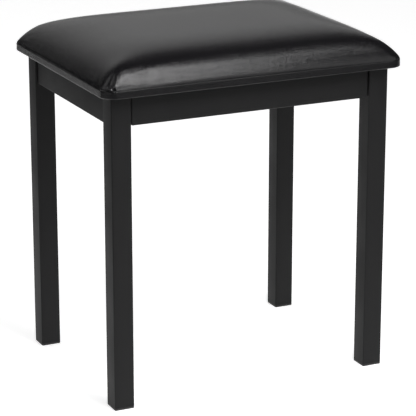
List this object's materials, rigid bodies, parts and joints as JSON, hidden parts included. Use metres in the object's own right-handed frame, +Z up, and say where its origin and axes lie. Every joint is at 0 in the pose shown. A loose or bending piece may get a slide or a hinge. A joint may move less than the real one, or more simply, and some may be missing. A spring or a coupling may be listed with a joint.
{
  "type": "piano bench",
  "caption": "Fixed-height piano bench with square steel tube legs, folded steel aprons and a domed padded seat in black leatherette.",
  "frame": {"origin": "on the floor, under the middle of the bench", "axes": "+X along the long side of the seat, +Y from the front to the rear, +Z up"},
  "size_m": [0.466, 0.356, 0.5143],
  "materials": {
    "powder_coat": "satin",
    "foot_plastic": "matte",
    "zinc_steel": "satin",
    "plywood": "matte",
    "foam": "matte",
    "leatherette": "gloss",
    "nonwoven": "matte"
  },
  "bodies": {
    "root": {"leg_front_left": "powder_coat", "foot_front_left": "foot_plastic", "leg_front_right": "powder_coat", "foot_front_right": "foot_plastic", "leg_rear_right": "powder_coat", "foot_rear_right": "foot_plastic", "leg_rear_left": "powder_coat", "foot_rear_left": "foot_plastic", "apron_front": "powder_coat", "apron_right": "powder_coat", "apron_rear": "powder_coat", "apron_left": "powder_coat", "seat_board": "plywood", "seat_foam": "foam", "seat_cover": "leatherette", "dust_cover": "nonwoven", "frame_rivet_nut_front_left_front": "zinc_steel", "frame_washer_front_left_front": "zinc_steel", "frame_screw_front_left_front": "zinc_steel", "frame_rivet_nut_front_left_left": "zinc_steel", "frame_washer_front_left_left": "zinc_steel", "frame_screw_front_left_left": "zinc_steel", "seat_washer_front_left": "zinc_steel", "seat_screw_front_left": "zinc_steel", "t_nut_front_left": "zinc_steel", "frame_rivet_nut_front_right_front": "zinc_steel", "frame_washer_front_right_front": "zinc_steel", "frame_screw_front_right_front": "zinc_steel", "frame_rivet_nut_front_right_right": "zinc_steel", "frame_washer_front_right_right": "zinc_steel", "frame_screw_front_right_right": "zinc_steel", "seat_washer_front_right": "zinc_steel", "seat_screw_front_right": "zinc_steel", "t_nut_front_right": "zinc_steel", "frame_rivet_nut_rear_right_rear": "zinc_steel", "frame_washer_rear_right_rear": "zinc_steel", "frame_screw_rear_right_rear": "zinc_steel", "frame_rivet_nut_rear_right_right": "zinc_steel", "frame_washer_rear_right_right": "zinc_steel", "frame_screw_rear_right_right": "zinc_steel", "seat_washer_rear_right": "zinc_steel", "seat_screw_rear_right": "zinc_steel", "t_nut_rear_right": "zinc_steel", "frame_rivet_nut_rear_left_rear": "zinc_steel", "frame_washer_rear_left_rear": "zinc_steel", "frame_screw_rear_left_rear": "zinc_steel", "frame_rivet_nut_rear_left_left": "zinc_steel", "frame_washer_rear_left_left": "zinc_steel", "frame_screw_rear_left_left": "zinc_steel", "seat_washer_rear_left": "zinc_steel", "seat_screw_rear_left": "zinc_steel", "t_nut_rear_left": "zinc_steel"}
  },
  "joints": []
}
